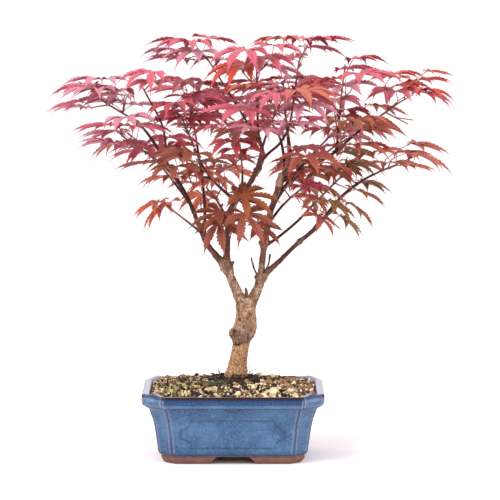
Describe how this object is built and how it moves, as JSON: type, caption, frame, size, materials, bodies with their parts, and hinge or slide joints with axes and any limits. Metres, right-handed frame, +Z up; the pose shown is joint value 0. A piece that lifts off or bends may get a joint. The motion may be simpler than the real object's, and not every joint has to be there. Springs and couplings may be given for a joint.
{
  "type": "japanese maple bonsai",
  "caption": "Potted Japanese maple bonsai: a forked trunk and spreading boughs with pads of lobed red and bronze leaves, in a blue glazed oblong pot with cut corners.",
  "frame": {"origin": "on the surface that the pot stands on, under the middle of the whole plant's box", "axes": "+Z up; the pot's long front side looks along -Y and +X is to the right of someone who faces it"},
  "size_m": [0.3366, 0.2556, 0.3618],
  "materials": {
    "blue_glaze": "glossy mottled glaze, feet unglazed red-brown",
    "gritty_soil": "loose grit and bark",
    "maple_bark": "fine matte bark",
    "young_bark": "smooth satin young bark",
    "crimson_leaves": "thin satin leaf",
    "red_leaves": "thin satin leaf",
    "bronze_leaves": "thin satin leaf"
  },
  "bodies": {
    "root": {"pot": "blue_glaze", "soil": "gritty_soil", "trunk": "maple_bark", "bough_far_left": "maple_bark", "bough_far_right": "maple_bark", "bough_top_middle": "maple_bark", "bough_heart_right": "maple_bark", "bough_low_right": "young_bark", "bough_high_right": "young_bark", "bough_inner_left": "young_bark", "bough_back_left": "young_bark", "bough_upper_left": "young_bark", "bough_left": "young_bark", "bough_left_back": "young_bark", "bough_low_left": "young_bark", "bough_low_front": "young_bark", "bough_front_left": "young_bark", "bough_top_left": "young_bark", "bough_top_right": "young_bark", "bough_upper_right": "young_bark", "bough_right": "young_bark", "bough_low_right_front": "young_bark", "bough_middle_right": "young_bark", "bough_middle": "young_bark", "bough_front": "young_bark", "bough_back": "young_bark", "bough_back_right": "young_bark", "bough_back_low": "young_bark", "bough_back_low_left": "young_bark", "leaves_far_left": "crimson_leaves", "leaves_far_right": "red_leaves", "leaves_top_middle": "crimson_leaves", "leaves_heart_right": "crimson_leaves", "leaves_low_right": "bronze_leaves", "leaves_high_right": "crimson_leaves", "leaves_inner_left": "crimson_leaves", "leaves_back_left": "crimson_leaves", "leaves_upper_left": "crimson_leaves", "leaves_left": "red_leaves", "leaves_left_back": "red_leaves", "leaves_low_left": "bronze_leaves", "leaves_low_front": "bronze_leaves", "leaves_front_left": "red_leaves", "leaves_top_left": "crimson_leaves", "leaves_top_right": "crimson_leaves", "leaves_upper_right": "crimson_leaves", "leaves_right": "red_leaves", "leaves_low_right_front": "bronze_leaves", "leaves_middle_right": "red_leaves", "leaves_middle": "red_leaves", "leaves_front": "crimson_leaves", "leaves_back": "crimson_leaves", "leaves_back_right": "red_leaves", "leaves_back_low": "bronze_leaves", "leaves_back_low_left": "bronze_leaves"}
  },
  "joints": []
}
